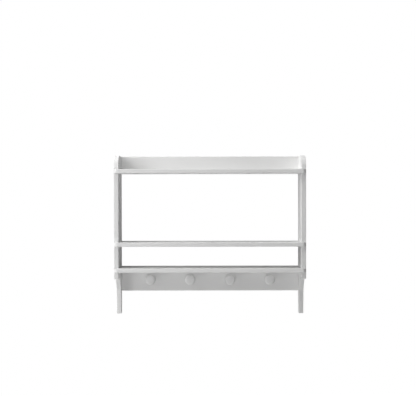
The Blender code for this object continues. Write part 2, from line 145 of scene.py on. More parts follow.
# %% Round the edges that a rule picks
def round_edges(shape, wanted, radius, steps):
    """Rounds every edge for which wanted(edge) is true, and says how many there were."""
    edges = [edge for edge in shape.edges if wanted(edge)]
    bmesh.ops.bevel(
        shape,
        geom=edges,
        offset=radius,
        offset_type="OFFSET",
        affect="EDGES",
        segments=steps,
        profile=0.5,
        material=-1,
        clamp_overlap=True,
    )
    return len(edges)


# %% Rules that pick edges
def runs_along(edge, axis):
    """Whether an edge runs along an axis: 0 is X, 1 is Y and 2 is Z."""
    along = (edge.verts[1].co - edge.verts[0].co).normalized()
    return abs(along[axis]) > math.cos(STRAIGHT_WITHIN)


def is_corner(edge):
    """Whether an edge is sharp enough for a hand to feel it."""
    return len(edge.link_faces) == 2 and edge.calc_face_angle(0) > FELT_ANGLE


# %% [markdown]
# A Boolean leaves big flat faces beside narrow round ones. Smooth shading would spread the roundness
# over the flat face as a false gradient, and flat shading would show every step of the arc. The
# Weighted Normal modifier gives the large face the say, which is what a real board looks like. Both
# modifiers are evaluated once, so the finished mesh needs no live modifier.

# %% Drill a shape and finish its mesh
def evaluated_mesh(worker):
    """The mesh of an object with its modifiers done."""
    graph = bpy.context.evaluated_depsgraph_get()
    graph.update()
    return bpy.data.meshes.new_from_object(worker.evaluated_get(graph), depsgraph=graph)


def as_object(name, shape):
    """A plain object in the scene from a shape, which is used up."""
    mesh = bpy.data.meshes.new(name)
    shape.to_mesh(mesh)
    shape.free()
    worker = bpy.data.objects.new(name, mesh)
    bpy.context.scene.collection.objects.link(worker)
    return worker


def finished(name, shape, cutters=()):
    """The finished mesh of a piece: drilled by its cutters, smooth where round, flat where flat."""
    worker = as_object(name, shape)
    if cutters:
        group = bpy.data.collections.new(f"{name}_cutters")
        for cutter_shape in cutters:
            cutter = as_object(f"{name}_cutter", cutter_shape)
            bpy.context.scene.collection.objects.unlink(cutter)
            group.objects.link(cutter)
        boolean = worker.modifiers.new("Bores", "BOOLEAN")
        boolean.operation = "DIFFERENCE"
        boolean.solver = "EXACT"
        boolean.operand_type = "COLLECTION"
        boolean.collection = group
        drilled = evaluated_mesh(worker)
        worker.modifiers.remove(boolean)
        worker.data = drilled
        for cutter in list(group.objects):
            bpy.data.objects.remove(cutter)
        bpy.data.collections.remove(group)
    worker.data.shade_smooth()
    worker.data.set_sharp_from_angle(angle=SHARP_ANGLE)
    weigh = worker.modifiers.new("Flat stays flat", "WEIGHTED_NORMAL")
    weigh.keep_sharp = True
    mesh = evaluated_mesh(worker)
    bpy.data.objects.remove(worker)
    mesh.name = name
    return mesh


# %% [markdown]
# ## Turned shapes and how they are aimed
#
# Pegs, screws, caps and drill bits are all round. Each is drawn as half a section and spun once
# round the Z axis, with the two ends of the spin merged. Then one matrix lays its axis along the
# direction in which the real piece points: at the room, at the wall, or out to one side.

# %% Spin a profile
def turned(profile, sides):
    """A closed round shape. The profile is (radius, height) from the top of the axis down."""
    shape = bmesh.new()
    points = [shape.verts.new((radius, 0, height)) for radius, height in profile]
    edges = [shape.edges.new(pair) for pair in zip(points, points[1:])]
    bmesh.ops.spin(
        shape,
        geom=points + edges,
        cent=(0, 0, 0),
        axis=(0, 0, 1),
        angle=math.tau,
        steps=sides,
        use_merge=True,
    )
    bmesh.ops.remove_doubles(shape, verts=shape.verts, dist=MERGE_DISTANCE)
    bmesh.ops.recalc_face_normals(shape, faces=shape.faces)
    return shape


# %% Aim a shape
QUARTER_TURN = math.pi / 2
TO_ROOM = Matrix.Rotation(QUARTER_TURN, 4, "X")
TO_WALL = Matrix.Rotation(-QUARTER_TURN, 4, "X")
TO_LEFT = Matrix.Rotation(-QUARTER_TURN, 4, "Y")
TO_RIGHT = Matrix.Rotation(QUARTER_TURN, 4, "Y")


def aimed(shape, aim, place):
    """Turns a shape from its own Z axis to where the aim points, and moves it to its place."""
    bmesh.ops.transform(shape, matrix=Matrix.Translation(place) @ aim, verts=shape.verts)
    return shape


def middle(node):
    """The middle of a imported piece's box."""
    low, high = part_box(node)
    return (low + high) / 2


# %% [markdown]
# ## Materials from nodes
#
# Sprayed satin paint on wood isn't one flat colour. Three things show from near by: the film is a
# trace thicker in some places, its surface has the fine ripple that spray painters call orange peel,
# and the grain of the wood swells a little under it. The colour difference is tiny, so most of the
# look is in roughness and bump.
#
# All textures read Object coordinates. Every piece sits at the origin with its place in its mesh, so
# these are metres on the real shelf, and a ripple of 2 mm is written as a noise scale of 1 / 0.002.
#
# A Mix node has a pair of inputs for each kind of data, all with the same names. So its colour
# sockets are picked by number.

# %% A small kit for node trees
EVEN = (1, 1, 1)
NOISE_MIDDLE_LOW, NOISE_MIDDLE_HIGH = 0.25, 0.75
MIX_FIRST, MIX_SECOND, MIX_RESULT = 6, 7, 2


def new_material(name):
    """A material with its node tree and its shader."""
    material = bpy.data.materials.new(name)
    material.use_nodes = True
    tree = material.node_tree
    return material, tree, tree.nodes["Principled BSDF"]


def add_node(tree, kind, settings=None, values=None, links=None):
    """Adds a node with its settings, its unlinked values and what its inputs are linked to."""
    node = tree.nodes.new(kind)
    for key, value in (settings or {}).items():
        setattr(node, key, value)
    for key, value in (values or {}).items():
        node.inputs[key].default_value = value
    for key, source in (links or {}).items():
        tree.links.new(source, node.inputs[key])
    return node


def stretched(tree, stretch):
    """Object coordinates, scaled along each axis. A low scale draws the pattern out along that axis."""
    place = add_node(tree, "ShaderNodeTexCoord").outputs["Object"]
    mapping = add_node(tree, "ShaderNodeMapping", values={"Scale": stretch}, links={"Vector": place})
    return mapping.outputs["Vector"]


def noise(tree, vector, size, detail=2.0, roughness=0.5):
    """Noise whose blotches are about size metres across."""
    values = {"Scale": 1 / size, "Detail": detail, "Roughness": roughness}
    return add_node(tree, "ShaderNodeTexNoise", values=values, links={"Vector": vector}).outputs["Fac"]


def spread(tree, source, low, high):
    """Maps the middle half of a noise, where most of it lies, to a range from low to high."""
    values = {
        "From Min": NOISE_MIDDLE_LOW,
        "From Max": NOISE_MIDDLE_HIGH,
        "To Min": low,
        "To Max": high,
    }
    mapped = add_node(tree, "ShaderNodeMapRange", values=values, links={"Value": source})
    return mapped.outputs["Result"]


def blend_colours(tree, factor, first, second):
    """Mixes two colours. Each is three numbers or the output of another node."""
    mix = add_node(tree, "ShaderNodeMix", settings={"data_type": "RGBA"}, links={0: factor})
    for socket, colour in ((mix.inputs[MIX_FIRST], first), (mix.inputs[MIX_SECOND], second)):
        if isinstance(colour, bpy.types.NodeSocket):
            tree.links.new(colour, socket)
        else:
            socket.default_value = (*colour, 1)
    return mix.outputs[MIX_RESULT]


def bumps(tree, layers):
    """Stacks bumps: each layer is (height, how deep it is in metres, strength)."""
    normal = None
    for height, depth, strength in layers:
        links = {"Height": height}
        if normal:
            links["Normal"] = normal
        values = {"Distance": depth, "Strength": strength}
        normal = add_node(tree, "ShaderNodeBump", values=values, links=links).outputs["Normal"]
    return normal


# %% Satin paint over wood
PAINT_FULL = (0.800, 0.800, 0.798)
PAINT_THIN = (0.775, 0.774, 0.768)
PAINT_SPECULAR = 0.3
BOARD_ROUGHNESS = (0.60, 0.74)
RIPPLE_SIZE = 0.0022
RIPPLE_DEPTH = 0.00005
GRAIN_WIDTH = 0.003
GRAIN_DRAWN_OUT = 0.03
GRAIN_DEPTH = 0.00006
GRAIN_SHADES = (0, 0.5)
MOTTLE_SIZE = 0.12
MOTTLE_SHADES = (0, 0.6)
PIN_SIZE = 0.0005
BOARD_BUMP = 0.5


def satin_paint(name, grain_axis):
    """White satin paint over wood whose grain runs along an axis: 0 is X, 1 is Y and 2 is Z."""
    material, tree, shader = new_material(name)
    evenly = stretched(tree, EVEN)
    along_grain = list(EVEN)
    along_grain[grain_axis] = GRAIN_DRAWN_OUT
    grain = noise(tree, stretched(tree, along_grain), GRAIN_WIDTH, detail=4, roughness=0.6)
    ripple = noise(tree, evenly, RIPPLE_SIZE, detail=1)
    mottle = noise(tree, evenly, MOTTLE_SIZE, detail=3)
    pins = noise(tree, evenly, PIN_SIZE, detail=1)
    film = blend_colours(tree, spread(tree, mottle, *MOTTLE_SHADES), PAINT_FULL, PAINT_THIN)
    colour = blend_colours(tree, spread(tree, grain, *GRAIN_SHADES), film, PAINT_THIN)
    tree.links.new(colour, shader.inputs["Base Color"])
    tree.links.new(spread(tree, pins, *BOARD_ROUGHNESS), shader.inputs["Roughness"])
    shader.inputs["Specular IOR Level"].default_value = PAINT_SPECULAR
    layers = ((grain, GRAIN_DEPTH, BOARD_BUMP), (ripple, RIPPLE_DEPTH, BOARD_BUMP))
    tree.links.new(bumps(tree, layers), shader.inputs["Normal"])
    return material


upright_paint = satin_paint("satin_paint_grain_upright", 2)
level_paint = satin_paint("satin_paint_grain_level", 0)
print("paint:", upright_paint.name, level_paint.name)

# %% [markdown]
# A peg is turned on a lathe, so under its paint lie fine rings round its own axis. Object
# coordinates don't know where that axis is, because each peg stands elsewhere. The mesh can carry it
# instead: every point gets its place along the profile as an attribute, and waves on that attribute
# are rings on the peg.

# %% Satin paint over a turned peg
TURNED_ATTRIBUTE = "along_profile"
RING_COUNT = 90
RING_DEPTH = 0.00005
RING_BUMP = 0.25
RING_WOBBLE_SIZE = 0.01
PEG_RIPPLE_BUMP = 0.4
PEG_MOTTLE_SIZE = 0.03
PEG_MOTTLE_SHADES = (0, 0.8)
PEG_ROUGHNESS = (0.56, 0.70)


def turned_paint(name):
    """The boards' paint, but over the fine rings that a lathe leaves."""
    material, tree, shader = new_material(name)
    evenly = stretched(tree, EVEN)
    attribute = add_node(tree, "ShaderNodeAttribute", settings={"attribute_name": TURNED_ATTRIBUTE})
    wobble = noise(tree, evenly, RING_WOBBLE_SIZE, detail=2)
    phase = add_node(
        tree,
        "ShaderNodeMath",
        settings={"operation": "MULTIPLY_ADD"},
        values={1: RING_COUNT * math.tau},
        links={0: attribute.outputs["Fac"], 2: wobble},
    ).outputs[0]
    wave = add_node(tree, "ShaderNodeMath", settings={"operation": "SINE"}, links={0: phase})
    ripple = noise(tree, evenly, RIPPLE_SIZE, detail=1)
    mottle = noise(tree, evenly, PEG_MOTTLE_SIZE, detail=3)
    pins = noise(tree, evenly, PIN_SIZE, detail=1)
    colour = blend_colours(tree, spread(tree, mottle, *PEG_MOTTLE_SHADES), PAINT_FULL, PAINT_THIN)
    tree.links.new(colour, shader.inputs["Base Color"])
    tree.links.new(spread(tree, pins, *PEG_ROUGHNESS), shader.inputs["Roughness"])
    shader.inputs["Specular IOR Level"].default_value = PAINT_SPECULAR
    layers = ((wave.outputs[0], RING_DEPTH, RING_BUMP), (ripple, RIPPLE_DEPTH, PEG_RIPPLE_BUMP))
    tree.links.new(bumps(tree, layers), shader.inputs["Normal"])
    return material


peg_paint = turned_paint("satin_paint_on_turned_wood")
print("rings on a peg:", RING_COUNT)

# %% [markdown]
# ## Metal, plastic and bare wood
#
# The screws and the hanger plates are steel with a bright zinc plate. Zinc is metallic, so its Base
# Color is the colour of its reflections, with a faint drift between blue and straw. The plates are
# rolled strip, and their scratches run along X. The caps over the connector screws are moulded
# plastic with a fine eroded texture. The dowels are bare beech, whose short dark flecks lie along
# the grain.

# %% Bright zinc plate
ZINC_COOL = (0.60, 0.62, 0.66)
ZINC_WARM = (0.66, 0.64, 0.57)
ZINC_ROUGHNESS = (0.22, 0.42)
DRIFT_SIZE = 0.006
SCRATCH_WIDTH = 0.0004
SCRATCH_DEPTH = SCRATCH_WIDTH / 20
SCRATCH_BUMP = 0.4
ROLLED_SCRATCHES_DRAWN_OUT = 0.04


def zinc_plate(name, scratches_drawn_out):
    """Bright zinc. A low number draws its scratches out along X, and 1 leaves them even."""
    material, tree, shader = new_material(name)
    shader.inputs["Metallic"].default_value = 1
    drift = noise(tree, stretched(tree, EVEN), DRIFT_SIZE, detail=2)
    scratches = noise(tree, stretched(tree, (scratches_drawn_out, 1, 1)), SCRATCH_WIDTH, detail=2)
    colour = blend_colours(tree, spread(tree, drift, 0, 1), ZINC_COOL, ZINC_WARM)
    tree.links.new(colour, shader.inputs["Base Color"])
    tree.links.new(spread(tree, scratches, *ZINC_ROUGHNESS), shader.inputs["Roughness"])
    layers = ((scratches, SCRATCH_DEPTH, SCRATCH_BUMP),)
    tree.links.new(bumps(tree, layers), shader.inputs["Normal"])
    return material


strip_zinc = zinc_plate("zinc_on_rolled_strip", ROLLED_SCRATCHES_DRAWN_OUT)
screw_zinc = zinc_plate("zinc_on_screws", 1)


# %% Moulded plastic
PLASTIC_WHITE = (0.79, 0.79, 0.78)
PLASTIC_CREAM = (0.77, 0.77, 0.755)
PLASTIC_ROUGHNESS = (0.30, 0.45)
FLOW_SIZE = 0.004
ERODED_SIZE = 0.0004
ERODED_DEPTH = 0.00002
ERODED_BUMP = 0.4


def moulded_plastic(name):
    """White plastic with the eroded texture of its mould and a faint trace of how it flowed."""
    material, tree, shader = new_material(name)
    texture = noise(tree, stretched(tree, EVEN), ERODED_SIZE, detail=1)
    flow = noise(tree, stretched(tree, EVEN), FLOW_SIZE, detail=2)
    colour = blend_colours(tree, spread(tree, flow, 0, 1), PLASTIC_WHITE, PLASTIC_CREAM)
    tree.links.new(colour, shader.inputs["Base Color"])
    tree.links.new(spread(tree, texture, *PLASTIC_ROUGHNESS), shader.inputs["Roughness"])
    layers = ((texture, ERODED_DEPTH, ERODED_BUMP),)
    tree.links.new(bumps(tree, layers), shader.inputs["Normal"])
    return material


cap_plastic = moulded_plastic("white_moulded_plastic")


# %% Bare beech
BEECH_PALE = (0.60, 0.40, 0.24)
BEECH_DARK = (0.47, 0.29, 0.16)
BEECH_ROUGHNESS = (0.55, 0.75)
BEECH_GRAIN_WIDTH = 0.0012
BEECH_GRAIN_DRAWN_OUT = 0.06
BEECH_GRAIN_DEPTH = 0.0001
BEECH_BUMP = 0.5
FLECK_COLOUR = (0.33, 0.19, 0.10)
FLECK_WIDTH = 0.0008
FLECK_DRAWN_OUT = 0.25
FLECK_SHADES = (-0.6, 0.5)


def bare_beech(name):
    """Beech whose grain runs along X, with short dark flecks where the rays of the wood are cut."""
    material, tree, shader = new_material(name)
    along_grain = stretched(tree, (BEECH_GRAIN_DRAWN_OUT, 1, 1))
    grain = noise(tree, along_grain, BEECH_GRAIN_WIDTH, detail=5, roughness=0.6)
    flecks = noise(tree, stretched(tree, (FLECK_DRAWN_OUT, 1, 1)), FLECK_WIDTH, detail=1)
    wood = blend_colours(tree, spread(tree, grain, 0, 1), BEECH_PALE, BEECH_DARK)
    colour = blend_colours(tree, spread(tree, flecks, *FLECK_SHADES), wood, FLECK_COLOUR)
    tree.links.new(colour, shader.inputs["Base Color"])
    tree.links.new(spread(tree, grain, *BEECH_ROUGHNESS), shader.inputs["Roughness"])
    layers = ((grain, BEECH_GRAIN_DEPTH, BEECH_BUMP),)
    tree.links.new(bumps(tree, layers), shader.inputs["Normal"])
    return material


beech = bare_beech("bare_beech")
print("materials:", len(bpy.data.materials))

# %% [markdown]
# ## Putting a piece on the shelf
#
# A finished piece stands for one piece of the imported model, which it hides, and moves with the same
# body. The shelf has no moving parts, so there is one body.

# %% Add a piece
BODY = "root"
made = []


def add_piece(name, mesh, material, node):
    """Puts a finished mesh in the scene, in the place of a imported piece."""
    piece = bpy.data.objects.new(name, mesh)
    bpy.context.scene.collection.objects.link(piece)
    mesh.materials.clear()
    mesh.materials.append(material)
    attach(piece, BODY)
    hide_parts(node)
    made.append(piece)
    return piece


# %% [markdown]
# ## Drills
#
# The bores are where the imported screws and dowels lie, 0.3 mm wider all round. So each drill bit is
# turned from the box of the piece that it makes room for, and the same bit serves both boards that
# the piece joins.

# %% Places of the hidden fasteners
SIDE_AIMS = {"left": TO_LEFT, "right": TO_RIGHT}
SHELVES = ("upper", "middle", "lower")
SCREW_PLACES = ("back", "front")
DOWEL_PLACES = ("lower", "upper")
THREAD_DIAMETER = 0.0064
HEAD_HEIGHT = 0.003
BORE_SIDES = 40


def stepped_bit(*steps):
    """A drill bit that goes down from its own Z zero. Each step is (diameter, depth it reaches)."""
    profile = [(0, CUT_OVERRUN), (steps[0][0] / 2, CUT_OVERRUN)]
    for (diameter, depth), (following, _) in zip(steps, [*steps[1:], (0, 0)]):
        profile += [(diameter / 2, -depth), (following / 2, -depth)]
    return turned(profile, BORE_SIDES)


# %% The bore for one connector screw
def connector_bit(shelf, side, place):
    """One bit through the side and into the shelf's end, aimed at where the screw lies."""
    label = f"{shelf}_{side}_{place}"
    cap_low, cap_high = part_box(f"cap_{label}")
    screw_box_low, screw_box_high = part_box(f"screw_{label}")
    outer_x = max(cap_low.x, cap_high.x, key=abs)
    tip_x = min(screw_box_low.x, screw_box_high.x, key=abs)
    head_bore = cap_high.z - cap_low.z + 2 * FIT_GAP
    seat = cap_high.x - cap_low.x + HEAD_HEIGHT + 2 * FIT_GAP
    reach = abs(outer_x) - abs(tip_x) + FIT_GAP
    centre = middle(f"cap_{label}")
    bit = stepped_bit((head_bore, seat), (THREAD_DIAMETER + 2 * FIT_GAP, reach))
    return aimed(bit, SIDE_AIMS[side], (outer_x, centre.y, centre.z))


# %% The bore for one dowel
def dowel_bit(rail, side, place):
    """One bit that leaves room for the whole dowel, half in the side and half in the rail."""
    low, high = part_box(f"dowel_{rail}_{side}_{place}")
    radius = (high.z - low.z) / 2 + FIT_GAP
    reach = (high.x - low.x) / 2 + FIT_GAP
    profile = [(0, reach), (radius, reach), (radius, -reach), (0, -reach)]
    return aimed(turned(profile, BORE_SIDES), SIDE_AIMS[side], (low + high) / 2)


# %% [markdown]
# ## The sides
#
# Each side is one board. From the top down it has a round ear, a long straight front, a bracket
# under the lowest shelf, an ogee behind it and a leg that tapers to its foot. The outline needs
# only seven corners: bevels make the arcs, and the ogee is one edge, cut into short steps that are
# then slid onto an S-curve. Last, a round-over of 2 mm runs along every edge of both broad faces,
# which is what catches the light as a thin bright line.

# %% Where the outline turns
EAR_RADIUS = 0.050
BRACKET_DROP = 0.0265
OGEE_HEIGHT = 0.0585
CORNER_RADIUS = 0.003
BRACKET_DEPTH_SHARE = 0.525
LEG_TOP_DEPTH_SHARE = 0.28
FOOT_DEPTH_SHARE = 0.21
OGEE_STEPS = 36
EAR_STEPS = 28
CORNER_STEPS = 6
EASE_STEPS = 5

ledge_z = lower_shelf_low.z - BRACKET_DROP
ogee_z = ledge_z - OGEE_HEIGHT
bracket_depth = BRACKET_DEPTH_SHARE * side_depth
leg_depth = LEG_TOP_DEPTH_SHARE * side_depth
foot_depth = FOOT_DEPTH_SHARE * side_depth


# %% Bend the ogee
def smoothstep(share):
    return share * share * (3 - 2 * share)


def bend_ogee(shape):
    """Cuts the slanted edge between the leg and the bracket into steps and slides them onto a curve."""
    slanted = []
    for edge in shape.edges:
        bottom, top = sorted(vertex.co.z for vertex in edge.verts)
        if abs(bottom - ogee_z) < SAME_PLACE and abs(top - ledge_z) < SAME_PLACE:
            slanted.append(edge)
    bmesh.ops.subdivide_edges(shape, edges=slanted, cuts=OGEE_STEPS - 1)
    for vertex in shape.verts:
        if ogee_z < vertex.co.z < ledge_z:
            share = (vertex.co.z - ogee_z) / OGEE_HEIGHT
            vertex.co.y = -leg_depth - (bracket_depth - leg_depth) * smoothstep(share)


# %% Rules for a side's edges
SQUARELY = 0.9


def stands_at(edge, corner):
    """Whether an edge runs straight through the board at a corner (y, z) of the outline."""
    return runs_along(edge, 0) and (edge.verts[0].co.yz - corner).length < SAME_PLACE


def is_side_arris(edge):
    """Whether an edge lies between one of a side's broad faces, which look along X, and its rim."""
    return sum(abs(face.normal.x) > SQUARELY for face in edge.link_faces) == 1


# %% Cut a side
def side_shape(sign):
    """The shape of a side before it is drilled. The sign is -1 on the left and 1 on the right."""
    inner_x = sign * side_low.x
    corners = [
        (0, foot_z),
        (foot_depth, foot_z),
        (leg_depth, ogee_z),
        (bracket_depth, ledge_z),
        (side_depth, ledge_z),
        (side_depth, top_z),
        (0, top_z),
    ]
    outline = [(inner_x, -depth, height) for depth, height in corners]
    shape = extruded(outline, (sign * side_thickness, 0, 0))
    bend_ogee(shape)
    front_rim = [
        (side_depth, top_z, EAR_RADIUS, EAR_STEPS),
        (side_depth, ledge_z, CORNER_RADIUS, CORNER_STEPS),
        (foot_depth, foot_z, CORNER_RADIUS, CORNER_STEPS),
    ]
    for depth, height, radius, steps in front_rim:
        corner = Vector((-depth, height))
        round_edges(shape, lambda edge: stands_at(edge, corner), radius, steps)
    round_edges(shape, is_side_arris, EASED_EDGE, EASE_STEPS)
    return shape


# %% Make both sides
for side, sign in (("left", -1), ("right", 1)):
    bits = [connector_bit(shelf, side, place) for shelf in SHELVES for place in SCREW_PLACES]
    for rail in ("gallery", "peg"):
        bits += [dowel_bit(rail, side, place) for place in DOWEL_PLACES]
    mesh = finished(f"{side}_side_board", side_shape(sign), bits)
    add_piece(f"{side}_side_board", mesh, upright_paint, f"{side}_side")
    print(side, "side:", len(mesh.polygons), "faces")

# %% [markdown]
# ## The shelves
#
# A shelf is longer in front than behind. Its back part fits between the sides, and its front lip
# runs on across their front edges, flush with their outer faces, with two round corners. So the
# outline has a notch at each end, and only the lip is rounded, because a hand meets nothing else.

# %% Cut a shelf
LIP_CORNER_RADIUS = 0.014
LIP_STEPS = 16
half_width = cad_high.x
notch_y = -side_depth - FIT_GAP
front_y = shelf_low.y


def is_lip_edge(edge):
    """Whether an edge runs round the front lip, above or below, but not along the notch."""
    first, second = (vertex.co for vertex in edge.verts)
    level = abs(first.z - second.z) < MERGE_DISTANCE
    before_sides = max(first.y, second.y) < notch_y + MERGE_DISTANCE
    in_notch = min(first.y, second.y) > notch_y - MERGE_DISTANCE
    return level and before_sides and not in_notch


def is_back_edge(edge):
    """Whether an edge runs along the shelf's back."""
    return runs_along(edge, 0) and max(vertex.co.y for vertex in edge.verts) > -MERGE_DISTANCE


def shelf_shape(bottom_z):
    """The shape of a shelf before it is drilled."""
    end = board_half_length
    half_outline = [(end, 0), (end, notch_y), (half_width, notch_y), (half_width, front_y)]
    corners = half_outline + [(-x, y) for x, y in reversed(half_outline)]
    shape = extruded([(x, y, bottom_z) for x, y in corners], (0, 0, shelf_thickness))
    round_edges(
        shape,
        lambda edge: runs_along(edge, 2) and edge.verts[0].co.y < front_y + MERGE_DISTANCE,
        LIP_CORNER_RADIUS,
        LIP_STEPS,
    )
    round_edges(shape, is_lip_edge, EASED_EDGE, EASE_STEPS)
    round_edges(shape, is_back_edge, SANDED_EDGE, SANDED_STEPS)
    return shape


# %% Make the three shelves
for shelf in SHELVES:
    low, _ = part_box(f"{shelf}_shelf")
    bits = [connector_bit(shelf, side, place) for side in SIDE_AIMS for place in SCREW_PLACES]
    mesh = finished(f"{shelf}_shelf_board", shelf_shape(low.z), bits)
    add_piece(f"{shelf}_shelf_board", mesh, level_paint, f"{shelf}_shelf")
    print(shelf, "shelf:", len(mesh.polygons), "faces")

# %% [markdown]
# ## The rails
#
# Both rails are plain strips between the sides. The edge that a hand can reach is rounded like the
# shelf's lip: the top one on the gallery rail and the bottom one on the peg rail. The other long
# edges are only sanded. Steel hanger plates are let into the gallery rail's back, over pockets
# for the heads of the wall's screws, and the pegs' screws sit in counterbores in the peg rail's back.

# %% Cut a rail
def rail_shape(node, eased_z):
    """A strip with the size of a packed rail, whose front edge at the height eased_z is rounded."""
    low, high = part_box(node)
    section = [(low.y, low.z), (high.y, low.z), (high.y, high.z), (low.y, high.z)]
    shape = extruded([(low.x, y, z) for y, z in section], (high.x - low.x, 0, 0))

    def is_eased(edge):
        centre = (edge.verts[0].co + edge.verts[1].co) / 2
        in_front = centre.y < low.y / 2
        return runs_along(edge, 0) and in_front and abs(centre.z - eased_z) < MERGE_DISTANCE

    round_edges(shape, is_eased, EASED_EDGE, EASE_STEPS)
    round_edges(
        shape,
        lambda edge: runs_along(edge, 0) and is_corner(edge),
        SANDED_EDGE,
        SANDED_STEPS,
    )
    return shape


def block(low, high):
    """A box between two corners, from a unit cube."""
    shape = bmesh.new()
    bmesh.ops.create_cube(shape, size=1)
    bmesh.ops.scale(shape, vec=Vector(high) - Vector(low), verts=shape.verts)
    bmesh.ops.translate(shape, vec=(Vector(low) + Vector(high)) / 2, verts=shape.verts)
    return shape


# %% Sizes of the hanger plates and their screws
HANGERS = ("left", "right")
KEYHOLE_ENTRY_DIAMETER = 0.009
KEYHOLE_SLOT_WIDTH = 0.0046
KEYHOLE_RISE = 0.0065
POCKET_WALL = 0.002
POCKET_DEPTH = 0.0088
PLATE_CORNER_RADIUS = 0.003
PLATE_EDGE = 0.0002
PLATE_EDGE_STEPS = 2
PLATE_SCREW_DIAMETER = 0.003


def countersunk(head_diameter, shank_diameter, length, over=0.0):
    """The (radius, height) profile of a countersunk screw or its bore, pointing down from Z zero."""
    head = head_diameter / 2
    shank = shank_diameter / 2
    return [(0, over), (head, over), (head, 0), (shank, shank - head), (shank, -length), (0, -length)]


def plate_screw_bit(hanger, end):
    """The countersunk bore for one of the two screws of a plate, in the plate and in the rail."""
    low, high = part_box(f"plate_screw_{hanger}_{end}")
    head = high.x - low.x + 2 * FIT_GAP
    shank = PLATE_SCREW_DIAMETER + 2 * FIT_GAP
    profile = countersunk(head, shank, high.y - low.y + FIT_GAP, CUT_OVERRUN)
    centre = (low + high) / 2
    return aimed(turned(profile, BORE_SIDES), TO_WALL, (centre.x, high.y, centre.z))


# %% What the gallery rail loses to its hangers
def hanger_cutters(hanger):
    """The recess for the plate, the pocket behind its keyhole and the bores for its two screws."""
    low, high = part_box(f"hanger_plate_{hanger}")
    centre = (low + high) / 2
    gap = Vector((FIT_GAP, FIT_GAP, FIT_GAP))
    recess = block(low - gap, (high.x + FIT_GAP, high.y + CUT_OVERRUN, high.z + FIT_GAP))
    round_edges(recess, lambda edge: runs_along(edge, 1), PLATE_CORNER_RADIUS + FIT_GAP, CORNER_STEPS)
    half_wide = KEYHOLE_ENTRY_DIAMETER / 2 + POCKET_WALL
    half_high = (KEYHOLE_ENTRY_DIAMETER + KEYHOLE_RISE) / 2 + FIT_GAP
    pocket = block(
        (centre.x - half_wide, high.y - POCKET_DEPTH, centre.z - half_high),
        (centre.x + half_wide, high.y, centre.z + half_high),
    )
    return [recess, pocket] + [plate_screw_bit(hanger, end) for end in HANGERS]


# %% Make the gallery rail
bits = [dowel_bit("gallery", side, place) for side in SIDE_AIMS for place in DOWEL_PLACES]
for hanger in HANGERS:
    bits += hanger_cutters(hanger)
mesh = finished("gallery_rail_board", rail_shape("gallery_rail", rail_high.z), bits)
add_piece("gallery_rail_board", mesh, level_paint, "gallery_rail")
print("gallery rail:", len(mesh.polygons), "faces")

# %% Make the peg rail
PEG_COUNT = 4
PEG_SCREW_DIAMETER = 0.004
PEG_SCREW_HEAD_HEIGHT = 0.0026


def peg_screw_bit(index):
    """The counterbore and the through bore for the screw of one peg."""
    low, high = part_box(f"peg_screw_{index}")
    centre = (low + high) / 2
    head_bore = high.x - low.x + 2 * FIT_GAP
    seat = PEG_SCREW_HEAD_HEIGHT + FIT_GAP
    thread_bore = PEG_SCREW_DIAMETER + 2 * FIT_GAP
    bit = stepped_bit((head_bore, seat), (thread_bore, rail_thickness + CUT_OVERRUN))
    return aimed(bit, TO_WALL, (centre.x, 0, centre.z))


peg_rail_low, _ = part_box("peg_rail")
bits = [dowel_bit("peg", side, place) for side in SIDE_AIMS for place in DOWEL_PLACES]
bits += [peg_screw_bit(index) for index in range(1, PEG_COUNT + 1)]
mesh = finished("peg_rail_board", rail_shape("peg_rail", peg_rail_low.z), bits)
add_piece("peg_rail_board", mesh, level_paint, "peg_rail")
print("peg rail:", len(mesh.polygons), "faces")

# %% [markdown]
# ## The pegs
#
# A peg is a mushroom: a crowned head, a back that sweeps in to a slim neck, and a small flare where
# the neck meets the rail. On the lathe that is one profile. The crown here follows a superellipse,
# which is flatter in the middle and rounder at the rim than a circle, and the back follows the same
# S-curve as the ogee of the sides. A share in a name is a share of the peg's length.

# %% Turn a peg
PEG_NECK_DIAMETER = 0.017
PEG_FLARE = 0.002
PEG_RIM_SHARE = 0.66
PEG_NECK_SHARE = 0.24
PEG_BORE_SHARE = 0.62
PEG_CROWN_POWER = 3.4
CROWN_STEPS = 24
BACK_STEPS = 16
PEG_SIDES = 96


def peg_profile(diameter, length):
    """(radius, height) along the peg, from the middle of its crown to the end of its bore."""
    head = diameter / 2
    neck = PEG_NECK_DIAMETER / 2
    rim = PEG_RIM_SHARE * length
    neck_top = PEG_NECK_SHARE * length
    exponent = 2 / PEG_CROWN_POWER
    profile = [(0, length)]
    for step in range(1, CROWN_STEPS):
        turn = QUARTER_TURN * step / CROWN_STEPS
        rise = math.cos(turn) ** exponent
        profile.append((head * math.sin(turn) ** exponent, rim + (length - rim) * rise))
    profile.append((head, rim))
    for step in range(1, BACK_STEPS + 1):
        share = step / BACK_STEPS
        profile.append((head + (neck - head) * smoothstep(share), rim + (neck_top - rim) * share))
    bore = PEG_SCREW_DIAMETER / 2 + FIT_GAP
    bore_end = PEG_BORE_SHARE * length
    profile += [(neck, PEG_FLARE), (neck + PEG_FLARE, 0), (bore, 0), (bore, bore_end), (0, bore_end)]
    return profile


# %% Mark how far along its profile each point of a peg lies
def marked(shape, profile):
    """Stores the share of the profile's length at each point, for the rings in the peg's paint."""
    lengths = [0.0]
    for (radius, height), (next_radius, next_height) in zip(profile, profile[1:]):
        lengths.append(lengths[-1] + math.hypot(next_radius - radius, next_height - height))
    layer = shape.verts.layers.float.new(TURNED_ATTRIBUTE)
    for vertex in shape.verts:
        radius = vertex.co.xy.length
        nearest = min(
            range(len(profile)),
            key=lambda index: math.hypot(profile[index][0] - radius, profile[index][1] - vertex.co.z),
        )
        vertex[layer] = lengths[nearest] / lengths[-1]
    return shape


